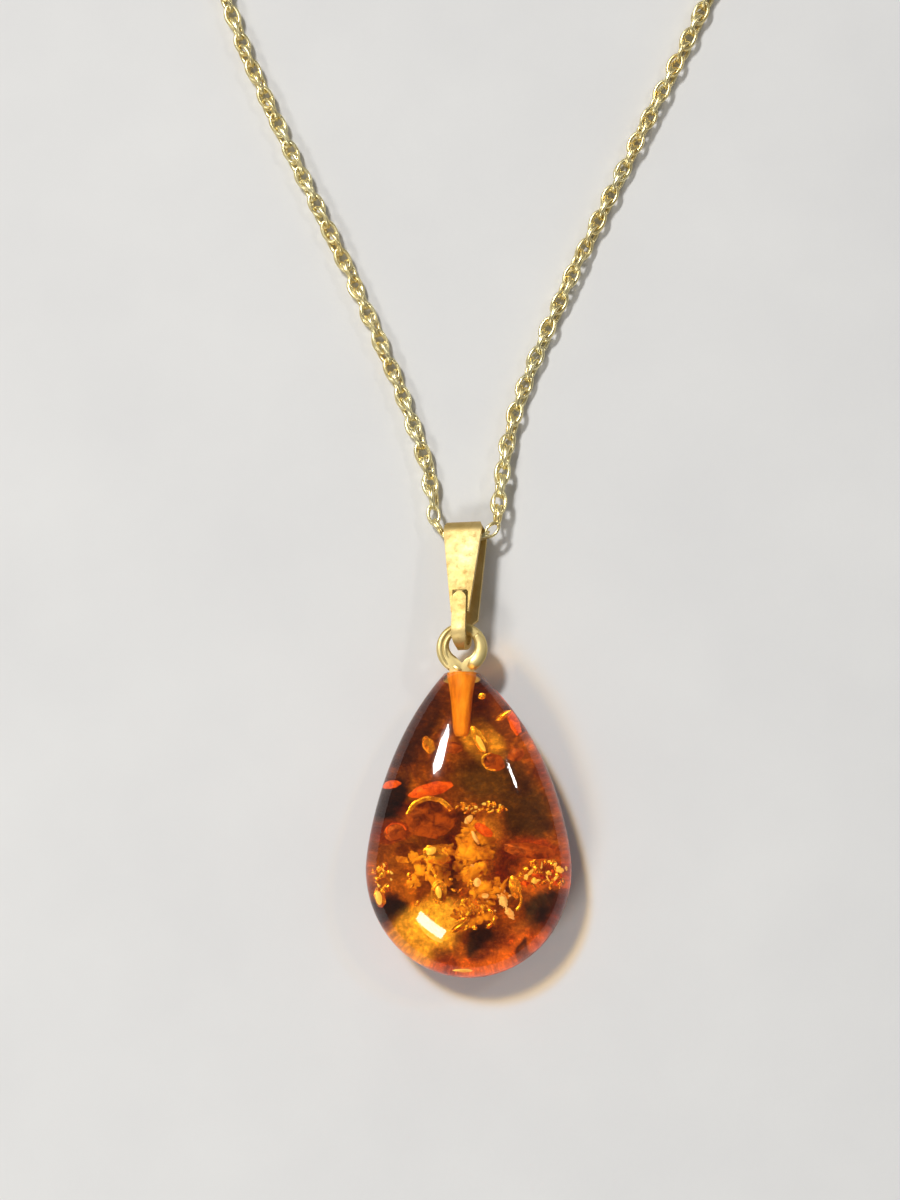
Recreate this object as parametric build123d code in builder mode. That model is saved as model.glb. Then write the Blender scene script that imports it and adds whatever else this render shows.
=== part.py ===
from build123d import *
import os
from math import cos, pi, radians, sin, tan

# Amber drop pendant on a double-link chain, lying on its flat back, in millimetres.
# +Z is up out of the surface, +Y runs from the drop towards the bail and the chain,
# and the origin is the middle of the drop's flat back.

# ---- driving dimensions ----
amber_length = 25.2       # along Y, from the drilled top to the round end
amber_width = 17.1        # across the widest section
amber_thickness = 7.5     # flat back to the crown of the front
amber_mid_height = 3.3    # height of the widest line above the back
back_edge_round = 0.3     # polish at the rim of the flat back

hole_depth = 5.6          # blind tapered hole in the drop's top
hole_top_radius = 1.12
hole_end_radius = 0.66

peg_radius = 0.45         # post of the eye peg
peg_depth = 4.6           # post length inside the glue
eye_radius = 2.15         # outside of the flat eye
eye_thickness = 0.8       # flattened wire, front to back
eye_hole_radius = 1.08
eye_hole_raise = 0.25     # the hole sits above the eye's centre
eye_point_drop = 1.53     # pointed foot of the hole below its centre
eye_point_angle = 30.0    # the round of the hole runs into its point this far below level, degrees
eye_neck_width = 2.1
eye_shift = -0.4          # the drilled top lies a little left of the middle
eye_edge_round = 0.25

bail_width = 3.25         # across the top fold
bail_foot_width = 1.5     # across the lower end of the front leaf
bail_back_width = 2.2     # across the back leaf at that height
bail_sheet = 0.4          # strip thickness
bail_gap = 1.9            # between the front and back leaves
bail_rise = 9.5           # hinge line to the outside of the top fold
bail_drop = 1.95          # hinge line to the outside of the bottom bend
bail_leaf_end = 1.0       # lower end of the front leaf above the hinge line
bail_tongue_width = 1.2
bail_neck = 0.6           # the back leaf has narrowed to the tongue's width here
bail_tongue_end = 2.7     # rounded tip of the tongue above the hinge line
bail_tilt = 10.5          # the top fold lies lower than the eye, degrees
bail_turn = 12.0          # the bail lies turned about its own length, degrees
bail_lean = 2.0           # its top leans this far towards +X, degrees
bail_shift = -0.37        # the tongue hangs in the eye a little right of its middle

chain_diameter = 1.4      # outside of the linked rings
chain_floor_gap = 0.02    # the chain just clears the surface it lies on

coil_centre_y = 96.0
coil_start_radius = 13.5  # centre line of the outer turn
coil_pitch = 3.2          # two strands side by side advance this much a turn
coil_turns = 2.0

clasp_radius = 2.05       # centre line of the spring ring
clasp_tube_radius = 0.7
clasp_wall = 0.2
bolt_clearance = 0.05     # radial, bolt in its tube
mouth_start = -60.0       # the spring ring's opening runs from here, degrees from +X
mouth_angle = 60.0
bolt_inside_angle = 75.0  # bolt length hidden in the tube when closed
bolt_seat_angle = 8.0     # bolt tip seated in the far end of the tube
seat_overrun = 2.0        # the seat is this much deeper than the bolt's tip needs, degrees
spring_clearance = 0.04
spring_stop_angle = 250.0 # the bore ends here, degrees from the mouth's other side
trigger_angle = 20.0      # knob when closed, degrees past the mouth
trigger_travel = 48.0     # degrees from closed to open
trigger_post_radius = 0.2
trigger_reach = 1.15      # knob centre beyond the ring's centre line
trigger_knob_radius = 0.42
slot_clearance = 0.06
eyelet_radius = 0.55      # centre line of the eyelet on the spring ring
eyelet_wire = 0.2         # wire radius
ring_wire = 0.25          # wire radius of the jump rings
ring_radius = 1.05        # centre line of the jump rings
ring_seat = 0.5           # a jump ring's centre stands this far in from the coil's inner turn
eyelet_solder = 0.12      # depth of the eyelet's soldered foot in the spring ring
end_ring_radius = 1.35    # centre line of the ring that the clasp catches

# ---- places that follow from them ----
amber_top_y = amber_length / 2
eye_centre_y = amber_top_y + eye_radius
eye_hole_y = eye_centre_y + eye_hole_raise
hinge_y = (eye_hole_y + eye_hole_radius + eye_centre_y + eye_radius) / 2
hinge_z = amber_mid_height
chain_z = chain_diameter / 2 + chain_floor_gap
clasp_z = clasp_tube_radius + chain_floor_gap
coil_inner_radius = coil_start_radius - coil_pitch * coil_turns - chain_diameter / 2
coil_outer_radius = coil_start_radius + chain_diameter / 2
link_ring_y = coil_centre_y + coil_inner_radius - ring_seat
eyelet_y = link_ring_y - ring_radius
clasp_y = eyelet_y - eyelet_radius - eyelet_wire - clasp_radius - clasp_tube_radius + eyelet_solder
end_ring_y = coil_centre_y - coil_inner_radius + ring_seat

# Seen from the front the drop is half an ellipse up to its widest line and then tapers to its top.
widest_share = 0.357      # the widest line, as a share of the length from the round end
round_end_angles = (4, 14, 28, 44, 60, 76, 90)
taper_shares = (0.18, 0.36, 0.54, 0.71, 0.86, 1.0)
taper_loss = 0.58         # share of the width lost evenly towards the top
top_half_width = 0.175    # at the drilled top, as a share of the widest
top_half_height = 0.38    # the same for the crown's height
taper_power = 1.5         # how late the even loss sets in
shoulder_power = 4        # the rest of the width goes near the top
crown_power = 2           # the crown's height falls off like this
shift_power = 3           # and the middle moves across like this
round_end_shift = 0.15    # the round end lies a little right of the middle

bend_share = 0.45         # share of the shorter run that a rounded corner of a route takes up

# Routes of the two strands from the middle of the bail: outwards, then to the coil.
bail_mid = (-0.09, 24.42, 1.84)
left_route = [
    bail_mid, (-2.77, 24.57, 1.27), (-2.9, 29.6, 0.80), (-5.6, 37.7, chain_z),
    (-10.6, 49.3, chain_z), (-15.7, 59.8, chain_z), (-20.9, 71.5, chain_z),
    (-22.6, 79.5, chain_z), (-20.9, 86.6, chain_z), (-17.2, 92.6, chain_z),
    (-14.2, 98.4, chain_z),
]
right_route = [
    bail_mid, (2.59, 24.27, 2.41), (2.85, 29.0, 1.25), (4.2, 36.4, chain_z),
    (9.5, 48.7, chain_z), (14.9, 59.8, chain_z), (20.6, 71.3, chain_z),
    (22.9, 77.0, chain_z), (21.9, 82.4, chain_z), (17.6, 85.8, chain_z),
    (12.5, 86.1, chain_z), (9.2, 85.1, chain_z),
]


def save(part, name):
    """Label one finished piece and write it."""
    part.label = name
    export_step(part, f"parts/{name}.step")


def corner_radii(points):
    """One radius a corner: a share of the shorter run over the tangent of half the turn."""
    radii = []
    for before, corner, after in zip(points, points[1:], points[2:]):
        run_in = Vector(*corner) - Vector(*before)
        run_out = Vector(*after) - Vector(*corner)
        half_turn = radians(run_in.get_angle(run_out)) / 2
        radii.append(bend_share * min(run_in.length, run_out.length) / tan(half_turn))
    return radii


def strand(points, name):
    """A plain tube along one strand of the chain."""
    radii = corner_radii(points)
    with BuildPart() as tube:
        with BuildLine() as path:
            FilletPolyline(*points, radius=radii)
        with BuildSketch(Plane(origin=path.line @ 0, z_dir=path.line % 0)):
            Circle(chain_diameter / 2)
        sweep(path=path.line)
    length = sum(edge.length for edge in path.edges())
    section = pi * chain_diameter**2 / 4
    filled = tube.part.volume / (section * length)
    print(name, "radii", [round(radius, 1) for radius in radii])
    print(name, "length", round(length, 1), "volume ratio", round(filled, 4))
    save(tube.part, name)


def drop_stations():
    """Sections of the drop from the round end to the top: distance, half width, half height, shift."""
    stations = []
    for angle in round_end_angles:
        along = widest_share * (1 - cos(radians(angle)))
        half = sin(radians(angle))
        stations.append((along, half, half, round_end_shift))
    for v in taper_shares:
        along = widest_share + (1 - widest_share) * v
        shoulder_loss = 1 - taper_loss - top_half_width
        wide = 1 - taper_loss * v**taper_power - shoulder_loss * v**shoulder_power
        high = 1 - (1 - top_half_height) * v**crown_power
        shift = round_end_shift + (eye_shift - round_end_shift) * v**shift_power
        stations.append((along, wide, high, shift))
    return stations


os.makedirs("parts", exist_ok=True)

# ---- amber drop: elliptical sections along Y, flat back, blind tapered hole in the top ----
crown_height = amber_thickness - amber_mid_height
with BuildPart() as amber_drop:
    for along, wide, high, shift in drop_stations():
        with BuildSketch(Plane.XZ.offset((0.5 - along) * amber_length)):
            with Locations((shift, amber_mid_height)):
                Ellipse(wide * amber_width / 2, high * crown_height)
    loft()
    split(bisect_by=Plane.XY, keep=Keep.TOP)
    back_rim = amber_drop.faces().sort_by(Axis.Z)[0].edges()
    fillet(back_rim, back_edge_round)
    with BuildSketch(Plane.XZ.offset(-amber_top_y)):
        with Locations((eye_shift, amber_mid_height)):
            Circle(hole_top_radius)
    with BuildSketch(Plane.XZ.offset(-(amber_top_y - hole_depth))):
        with Locations((eye_shift, amber_mid_height)):
            Circle(hole_end_radius)
    loft(mode=Mode.SUBTRACT)
save(amber_drop.part, "amber_drop")

# ---- glue: fills the tapered hole around the peg's post ----
with BuildPart() as glue_fill:
    with BuildSketch(Plane.XZ.offset(-amber_top_y)):
        with Locations((eye_shift, amber_mid_height)):
            Circle(hole_top_radius)
    with BuildSketch(Plane.XZ.offset(-(amber_top_y - hole_depth))):
        with Locations((eye_shift, amber_mid_height)):
            Circle(hole_end_radius)
    loft()
    with BuildSketch(Plane.XZ.offset(-amber_top_y)):
        with Locations((eye_shift, amber_mid_height)):
            Circle(peg_radius)
    extrude(amount=peg_depth, mode=Mode.SUBTRACT)
save(glue_fill.part, "glue_fill")

# ---- eye peg: flat eye with a pear-shaped hole, on a post in the glue ----
with BuildPart() as eye_peg:
    with BuildSketch(Plane.XY.offset(amber_mid_height - eye_thickness / 2)):
        with Locations((eye_shift, eye_centre_y)):
            Circle(eye_radius)
        neck_height = eye_centre_y - amber_top_y
        with Locations((eye_shift, amber_top_y + neck_height / 2)):
            Rectangle(eye_neck_width, neck_height)
        with Locations((eye_shift, eye_hole_y)):
            Circle(eye_hole_radius, mode=Mode.SUBTRACT)
        with BuildLine():
            side = eye_hole_radius * cos(radians(eye_point_angle))
            level = eye_hole_y - eye_hole_radius * sin(radians(eye_point_angle))
            foot = eye_hole_y - eye_point_drop
            Polyline(
                (eye_shift - side, level), (eye_shift, foot), (eye_shift + side, level), close=True
            )
        make_face(mode=Mode.SUBTRACT)
    extrude(amount=eye_thickness)
    round_edges = eye_peg.edges().filter_by(GeomType.CIRCLE)
    fillet(round_edges, eye_edge_round)
    with BuildSketch(Plane.XZ.offset(-amber_top_y)):
        with Locations((eye_shift, amber_mid_height)):
            Circle(peg_radius)
    extrude(amount=peg_depth)
save(eye_peg.part, "eye_peg")

# ---- bail: one tapered strip, folded over at the top, its tongue through the eye and up the front ----
turn = Rotation(0, -bail_turn, 0)
tilt = Rotation(-bail_tilt, 0, 0)
lean = Rotation(0, 0, -bail_lean)
bail_frame = Location((bail_shift, hinge_y, hinge_z)) * lean * tilt * turn
bail_side = Plane(bail_frame * Location((0, 0, 0), (0, -90, 0)))   # profile: local X is depth
bail_front = Plane(bail_frame)

half_gap = bail_gap / 2
fold_v = bail_rise - half_gap - bail_sheet
bend_radius = (bail_gap + bail_sheet) / 2
bend_v = -bail_drop + bail_sheet + bend_radius


def leaf_outline(foot_width, foot_v):
    """Tapered outline of one leaf seen from the front, from the top fold down to its foot."""
    top = bail_rise + bail_sheet
    corners = [(-bail_width / 2, top), (-bail_width / 2, fold_v), (-foot_width / 2, bail_leaf_end)]
    if foot_v < bail_leaf_end:
        corners.append((-bail_tongue_width / 2, bail_neck))
        corners.append((-bail_tongue_width / 2, foot_v))
    Polyline(*corners, *[(-x, v) for x, v in reversed(corners)], close=True)


def leaf(side):
    """Side profile of half the folded strip: side is 1 for the front leaf and -1 for the back."""
    middle = side * (half_gap + bail_sheet / 2)
    foot_v = bail_leaf_end if side > 0 else bend_v
    foot_width = bail_foot_width if side > 0 else bail_back_width
    with BuildPart() as half:
        with BuildSketch(bail_side):
            with BuildLine():
                Line((middle, foot_v), (middle, fold_v))
                CenterArc((0, fold_v), abs(middle), 90 - side * 90, side * 90)
                offset(amount=bail_sheet / 2, side=Side.BOTH, kind=Kind.TANGENT)
            make_face()
        extrude(amount=bail_width, both=True)
        with BuildSketch(bail_front):
            with BuildLine():
                leaf_outline(foot_width, foot_v)
            make_face()
        extrude(amount=bail_gap + 2 * bail_sheet, both=True, mode=Mode.INTERSECT)
    return half.part


with BuildPart() as bail:
    add(leaf(1))
    add(leaf(-1))
    with BuildSketch(bail_side):
        with BuildLine():
            outer = half_gap + 1.5 * bail_sheet
            CenterArc((bail_sheet / 2, bend_v), bend_radius + bail_sheet / 2, 180, 180)
            Line((outer, bend_v), (outer, bail_tongue_end))
            offset(amount=bail_sheet / 2, side=Side.BOTH)
        make_face()
    extrude(amount=bail_tongue_width / 2, both=True)
save(bail.part, "bail")

# ---- chain: two plain strands, and the coil that the two wind into side by side ----
strand(left_route, "chain_left")
strand(right_route, "chain_right")
with BuildPart() as chain_coil:
    with BuildSketch(Plane.XY.offset(chain_floor_gap)):
        with Locations((0, coil_centre_y)):
            Circle(coil_outer_radius)
            Circle(coil_inner_radius, mode=Mode.SUBTRACT)
    extrude(amount=chain_diameter)
save(chain_coil.part, "chain_coil")

# ---- spring-ring clasp, flat in the middle of the coil ----
clasp_centre = (0, clasp_y, clasp_z)
clasp_axis = Axis(clasp_centre, (0, 0, 1))


def clasp_section(angle):
    """Plane across the spring ring at an angle from +X: its local X is outwards, its local Y up."""
    a = radians(angle)
    return Plane(origin=clasp_centre, x_dir=(cos(a), sin(a), 0), z_dir=(sin(a), -cos(a), 0))


mouth_end = mouth_start + mouth_angle
bore_radius = clasp_tube_radius - clasp_wall
bolt_radius = bore_radius - bolt_clearance
slot_half = trigger_post_radius + slot_clearance
slot_margin = slot_half / clasp_radius * 180 / pi
slot_start = mouth_end + trigger_angle - slot_margin
post_plane = clasp_section(mouth_end + trigger_angle)
post_side = Plane(origin=clasp_centre, x_dir=(0, 0, 1), z_dir=post_plane.x_dir)

with BuildPart() as clasp_tube:
    with BuildSketch(clasp_section(mouth_end)):
        with Locations((clasp_radius, 0)):
            Circle(clasp_tube_radius)
    revolve(axis=clasp_axis, revolution_arc=360 - mouth_angle)
    with BuildSketch(clasp_section(mouth_end)):
        with Locations((clasp_radius, 0)):
            Circle(bore_radius)
    revolve(axis=clasp_axis, revolution_arc=spring_stop_angle, mode=Mode.SUBTRACT)
    with BuildSketch(clasp_section(mouth_start - bolt_seat_angle - seat_overrun)):
        with Locations((clasp_radius, 0)):
            Circle(bore_radius)
    revolve(axis=clasp_axis, revolution_arc=bolt_seat_angle + seat_overrun, mode=Mode.SUBTRACT)
    with BuildSketch(clasp_section(slot_start)):
        with Locations((clasp_radius + clasp_tube_radius, 0)):
            Rectangle(2 * clasp_tube_radius, 2 * slot_half)
    revolve(axis=clasp_axis, revolution_arc=trigger_travel + 2 * slot_margin, mode=Mode.SUBTRACT)
save(clasp_tube.part, "clasp_tube")

with BuildPart() as clasp_bolt:
    with BuildSketch(clasp_section(mouth_start - bolt_seat_angle)):
        with Locations((clasp_radius, 0)):
            Circle(bolt_radius)
    revolve(axis=clasp_axis, revolution_arc=bolt_seat_angle + mouth_angle + bolt_inside_angle)
    with BuildSketch(post_side.offset(clasp_radius)):
        Circle(trigger_post_radius)
    extrude(amount=clasp_tube_radius, mode=Mode.SUBTRACT)
save(clasp_bolt.part, "clasp_bolt")

with BuildPart() as clasp_trigger:
    with BuildSketch(post_side.offset(clasp_radius)):
        Circle(trigger_post_radius)
    extrude(amount=trigger_reach)
    with Locations(post_side.offset(clasp_radius + trigger_reach).origin):
        Sphere(trigger_knob_radius)
save(clasp_trigger.part, "clasp_trigger")

spring_start = mouth_end + bolt_inside_angle
with BuildPart() as clasp_spring:
    with BuildSketch(clasp_section(spring_start)):
        with Locations((clasp_radius, 0)):
            Circle(bore_radius - spring_clearance)
    revolve(axis=clasp_axis, revolution_arc=spring_stop_angle - bolt_inside_angle)
save(clasp_spring.part, "clasp_spring")


def wire_ring(centre, plane, radius, wire, name):
    """A closed ring of round wire about a centre, in a plane with that normal."""
    with BuildPart() as ring:
        with Locations(Plane(origin=centre, z_dir=plane).location):
            Torus(radius, wire)
    save(ring.part, name)


wire_ring((0, eyelet_y, clasp_z), (1, 0, 0), eyelet_radius, eyelet_wire, "clasp_eyelet")
wire_ring((0, link_ring_y, chain_z), (0, 0, 1), ring_radius, ring_wire, "link_ring")
wire_ring((0, end_ring_y, chain_z), (0, 0, 1), end_ring_radius, ring_wire, "end_ring")
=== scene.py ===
import bisect
import bpy
import bmesh
import math
import random
from mathutils import Matrix, Vector


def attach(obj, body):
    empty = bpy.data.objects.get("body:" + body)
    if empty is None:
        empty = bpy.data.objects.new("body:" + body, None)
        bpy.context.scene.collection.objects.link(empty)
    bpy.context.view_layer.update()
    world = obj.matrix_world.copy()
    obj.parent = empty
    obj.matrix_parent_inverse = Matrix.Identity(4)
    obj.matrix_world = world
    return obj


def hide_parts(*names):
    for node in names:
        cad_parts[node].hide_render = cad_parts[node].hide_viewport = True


# An amber drop pendant on a double-link chain, lying on its flat back.
# Lengths in this file are in millimetres until mm() turns them into metres.
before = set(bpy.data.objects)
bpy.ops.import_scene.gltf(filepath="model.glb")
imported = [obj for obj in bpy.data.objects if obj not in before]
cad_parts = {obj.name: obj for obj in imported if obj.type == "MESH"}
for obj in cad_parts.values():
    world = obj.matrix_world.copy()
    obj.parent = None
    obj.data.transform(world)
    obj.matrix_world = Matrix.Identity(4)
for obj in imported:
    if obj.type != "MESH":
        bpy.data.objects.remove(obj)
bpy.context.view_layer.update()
FLAKE_SEED = 21
rng = random.Random(FLAKE_SEED)


def mm(*point):
    return Vector(point) * 0.001


# ---------------------------------------------------------------- camera
CAMERA_TILT = math.radians(9.0)
CAMERA_DISTANCE = 200.0
CAMERA_TARGET = (-1.4, 19.4, 0.0)
CAMERA_PLACE = Vector(CAMERA_TARGET) + Vector((
    0, -CAMERA_DISTANCE * math.sin(CAMERA_TILT), CAMERA_DISTANCE * math.cos(CAMERA_TILT)))
CAMERA_LENS = 46.6
SENSOR_HEIGHT = 24.0
CLIP_START = 0.01         # metres: the camera is only 0.2 m away
camera_data = bpy.data.cameras.new("camera")
camera_data.sensor_fit = "VERTICAL"
camera_data.sensor_height = SENSOR_HEIGHT
camera_data.lens = CAMERA_LENS
camera_data.clip_start = CLIP_START
camera = bpy.data.objects.new("camera", camera_data)
camera.location = mm(*CAMERA_PLACE)
camera.rotation_euler = (CAMERA_TILT, 0, 0)
bpy.context.scene.collection.objects.link(camera)
bpy.context.scene.camera = camera
bpy.context.scene.view_settings.view_transform = "Standard"


# ---------------------------------------------------------------- node helpers
def empty_tree(owner):
    """Empties a material's or world's node tree: returns a function that adds nodes and one that links."""
    owner.use_nodes = True
    tree = owner.node_tree
    tree.nodes.clear()

    def add(kind, **values):
        node = tree.nodes.new(kind)
        for key, value in values.items():
            setattr(node, key, value)
        return node

    def link(source, target):
        tree.links.new(source, target)

    return add, link


def new_material(name):
    mat = bpy.data.materials.new(name)
    return (mat, *empty_tree(mat))


def ramp(add, link, source, stops):
    """A colour ramp over (position, colour) stops."""
    node = add("ShaderNodeValToRGB")
    elements = node.color_ramp.elements
    while len(elements) < len(stops):
        elements.new(0.5)
    for element, (position, colour) in zip(elements, stops):
        element.position = position
        element.color = (*colour, 1)
    link(source, node.inputs["Fac"])
    return node.outputs["Color"]


def noise(add, link, scale, detail=4.0, rough=0.55, distort=0.0, coord=None):
    node = add("ShaderNodeTexNoise")
    node.inputs["Scale"].default_value = scale
    node.inputs["Detail"].default_value = detail
    node.inputs["Roughness"].default_value = rough
    node.inputs["Distortion"].default_value = distort
    if coord is not None:
        link(coord, node.inputs["Vector"])
    return node.outputs["Fac"]


def mix(add, link, factor, a, b, blend="MIX"):
    node = add("ShaderNodeMix", data_type="RGBA", blend_type=blend)
    for socket, value in ((node.inputs[0], factor), (node.inputs[6], a), (node.inputs[7], b)):
        if hasattr(value, "is_linked"):
            link(value, socket)
        elif isinstance(value, (int, float)):
            socket.default_value = value
        else:
            socket.default_value = (*value, 1)
    return node.outputs[2]


def bump(add, link, height, strength, distance):
    node = add("ShaderNodeBump")
    node.inputs["Strength"].default_value = strength
    node.inputs["Distance"].default_value = distance
    link(height, node.inputs["Height"])
    return node.outputs["Normal"]


def map_range(add, link, source, from_min, from_max, to_min=0.0, to_max=1.0, smooth=False):
    node = add("ShaderNodeMapRange", interpolation_type="SMOOTHSTEP" if smooth else "LINEAR")
    node.inputs["From Min"].default_value = from_min
    node.inputs["From Max"].default_value = from_max
    node.inputs["To Min"].default_value = to_min
    node.inputs["To Max"].default_value = to_max
    link(source, node.inputs["Value"])
    return node.outputs["Result"]


def larger(add, link, source, other):
    """The larger of a value and another value or number."""
    node = add("ShaderNodeMath", operation="MAXIMUM")
    link(source, node.inputs[0])
    if hasattr(other, "is_linked"):
        link(other, node.inputs[1])
    else:
        node.inputs[1].default_value = other
    return node.outputs[0]


def to_surface(add, link, shader):
    link(shader.outputs[0], add("ShaderNodeOutputMaterial").inputs["Surface"])


CLOUD_SHARE = 0.4         # scale of the two tones, as a share of a gold's scale
WEAR_SHARE = 2.2          # scale of the wear


def gold_material(name, light, deep, rough_low, rough_high, pit, scale=900.0, spot=None):
    """Worn metal: two tones by a soft noise, a roughness that varies, fine pits and darker spots."""
    mat, add, link = new_material(name)
    where = add("ShaderNodeTexCoord").outputs["Object"]
    cloud = noise(add, link, scale * CLOUD_SHARE, 3.0, coord=where)
    fine = noise(add, link, scale * WEAR_SHARE, 5.0, 0.65, coord=where)
    tone = ramp(add, link, cloud, [(0.32, deep), (0.62, light)])
    shader = add("ShaderNodeBsdfPrincipled")
    shader.inputs["Metallic"].default_value = 1.0
    if spot:
        spots = ramp(add, link, fine, [(0.57, (0, 0, 0)), (0.74, (0.75, 0.75, 0.75))])
        tone = mix(add, link, spots, tone, spot)
    link(tone, shader.inputs["Base Color"])
    link(map_range(add, link, fine, 0.3, 0.7, rough_low, rough_high), shader.inputs["Roughness"])
    link(bump(add, link, fine, 0.6, pit), shader.inputs["Normal"])
    to_surface(add, link, shader)
    return mat


chain_gold = gold_material(
    "chain_gold_polished", (1.0, 0.90, 0.52), (0.93, 0.74, 0.32), 0.24, 0.40, 0.00001)
bail_gold = gold_material(
    "bail_gold_satin", (0.70, 0.54, 0.24), (0.55, 0.38, 0.125), 0.46, 0.62, 0.00005,
    scale=700.0, spot=(0.44, 0.27, 0.075))
eye_gold = gold_material(
    "eye_gold_pale", (0.93, 0.76, 0.36), (0.70, 0.53, 0.20), 0.40, 0.56, 0.00003, scale=800.0)
clasp_gold = gold_material(
    "clasp_gold_polished", (1.0, 0.88, 0.50), (0.92, 0.72, 0.31), 0.16, 0.30, 0.00001)
spring_steel = gold_material(
    "spring_steel_bright", (0.72, 0.72, 0.70), (0.50, 0.50, 0.49), 0.22, 0.38, 0.00001)


def paint(obj, material):
    obj.data.materials.clear()
    obj.data.materials.append(material)


def new_object(name, mesh, body, material):
    obj = bpy.data.objects.new(name, mesh)
    bpy.context.scene.collection.objects.link(obj)
    paint(obj, material)
    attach(obj, body)
    return obj


def mesh_from(bm, name):
    mesh = bpy.data.meshes.new(name)
    bm.to_mesh(mesh)
    bm.free()
    return mesh


# The bail's own frame: x across, y up the strip from the hinge line, z out of its front leaf.
BAIL_FRAME = (Matrix.Translation(mm(-0.37, 16.49, 3.3)) @ Matrix.Rotation(math.radians(-2), 4, "Z")
              @ Matrix.Rotation(math.radians(-10.5), 4, "X") @ Matrix.Rotation(math.radians(-12), 4, "Y"))
TONGUE_ROUND = 2.05       # the tongue's tip is round from here up, above the hinge line
TONGUE_END = 2.7
TONGUE_HALF = 0.6
TONGUE_BACK = 1.33        # just under the tongue's back face
TONGUE_CUTS = 6
UNDER_START = 1.9         # a small face closes the window under the tongue's round tip from here up
UNDER_HEIGHT = 1.345
FOLD_ROUND = 8.5          # the folded top's corners are worn round from here up
FOLD_END = 9.5
FOLD_WEAR = (0.10, 0.20)  # share of the half width lost on the left and on the right
LOOP_ROUND = -0.95        # the loop through the eye narrows from here down
LOOP_END = -1.96
LOOP_ROUNDNESS = 0.86


def shape_bail(bm):
    """Round tip for the tongue, worn corners at the fold and a rounder loop."""
    inverse = BAIL_FRAME.inverted()
    for i in range(TONGUE_CUTS):
        level = TONGUE_ROUND + (TONGUE_END - TONGUE_ROUND) * (i + 0.2) / TONGUE_CUTS
        faces = [f for f in bm.faces if all((inverse @ v.co).z > TONGUE_BACK * 0.001 for v in f.verts)]
        edges = {e for f in faces for e in f.edges}
        verts = {v for f in faces for v in f.verts}
        bmesh.ops.bisect_plane(
            bm, geom=list(verts) + list(edges) + faces, plane_co=BAIL_FRAME @ mm(0, level, 0),
            plane_no=BAIL_FRAME.to_3x3() @ Vector((0, 1, 0)))
    for vert in bm.verts:
        x, v, w = (inverse @ vert.co) * 1000
        on_tongue = w > TONGUE_BACK and abs(x) < TONGUE_HALF + 0.01
        if on_tongue and TONGUE_ROUND < v < TONGUE_END + 0.05:
            t = min((v - TONGUE_ROUND) / (TONGUE_END - TONGUE_ROUND), 1)
            x *= max(math.sqrt(1 - t * t), 0.30)
        if v > FOLD_ROUND:
            t = (v - FOLD_ROUND) / (FOLD_END - FOLD_ROUND)
            x *= 1 - FOLD_WEAR[x > 0] * t * t
        if v < LOOP_ROUND:
            t = (LOOP_ROUND - v) / (LOOP_ROUND - LOOP_END)
            x *= math.sqrt(1 - (LOOP_ROUNDNESS * t) ** 2)
        vert.co = BAIL_FRAME @ mm(x, v, w)
    half, top = TONGUE_HALF + 0.02, TONGUE_END + 0.02
    under = [(-half, UNDER_START), (half, UNDER_START), (half, top), (-half, top)]
    bm.faces.new([bm.verts.new(BAIL_FRAME @ mm(x, v, UNDER_HEIGHT)) for x, v in under])


WELD = 0.000002           # metres
FLAT_ANGLE = math.radians(1.0)


def softened(node, offset, angle, reshape=None):
    """A copy of a CAD node's mesh with its sharp edges rounded."""
    bm = bmesh.new()
    bm.from_mesh(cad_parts[node].data)
    bmesh.ops.remove_doubles(bm, verts=bm.verts[:], dist=WELD)
    bmesh.ops.dissolve_limit(bm, angle_limit=FLAT_ANGLE, verts=bm.verts[:], edges=bm.edges[:])
    if reshape:
        reshape(bm)
    sharp = [e for e in bm.edges if len(e.link_faces) == 2 and e.calc_face_angle() > math.radians(angle)]
    bmesh.ops.bevel(bm, geom=sharp, offset=offset * 0.001, segments=3, affect="EDGES", profile=0.5,
                    clamp_overlap=True)
    for face in bm.faces:
        face.smooth = True
    return mesh_from(bm, node + "_soft")


for node, material in (
        ("link_ring", chain_gold), ("end_ring", chain_gold), ("clasp_tube", clasp_gold),
        ("clasp_bolt", clasp_gold), ("clasp_trigger", clasp_gold), ("clasp_eyelet", clasp_gold),
        ("clasp_spring", spring_steel)):
    paint(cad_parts[node], material)

# ---------------------------------------------------------------- chain
CHAIN_Z = 0.72
COIL_Y = 96.0
COIL_START_RADIUS = 13.5
COIL_PITCH = 3.2
COIL_TURNS = 2.0
COIL_STEPS = 24           # points a turn

bail_mid = (-0.09, 24.42, 1.84)
left_route = [
    bail_mid, (-2.77, 24.57, 1.27), (-2.9, 29.6, 0.80), (-5.6, 37.7, CHAIN_Z),
    (-10.6, 49.3, CHAIN_Z), (-15.7, 59.8, CHAIN_Z), (-20.9, 71.5, CHAIN_Z),
    (-22.6, 79.5, CHAIN_Z), (-20.9, 86.6, CHAIN_Z), (-17.2, 92.6, CHAIN_Z),
    (-14.2, 98.4, CHAIN_Z),
]
right_route = [
    bail_mid, (2.59, 24.27, 2.41), (2.85, 29.0, 1.25), (4.2, 36.4, CHAIN_Z),
    (9.5, 48.7, CHAIN_Z), (14.9, 59.8, CHAIN_Z), (20.6, 71.3, CHAIN_Z),
    (22.9, 77.0, CHAIN_Z), (21.9, 82.4, CHAIN_Z), (17.6, 85.8, CHAIN_Z),
    (12.5, 86.1, CHAIN_Z), (9.2, 85.1, CHAIN_Z),
]


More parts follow.
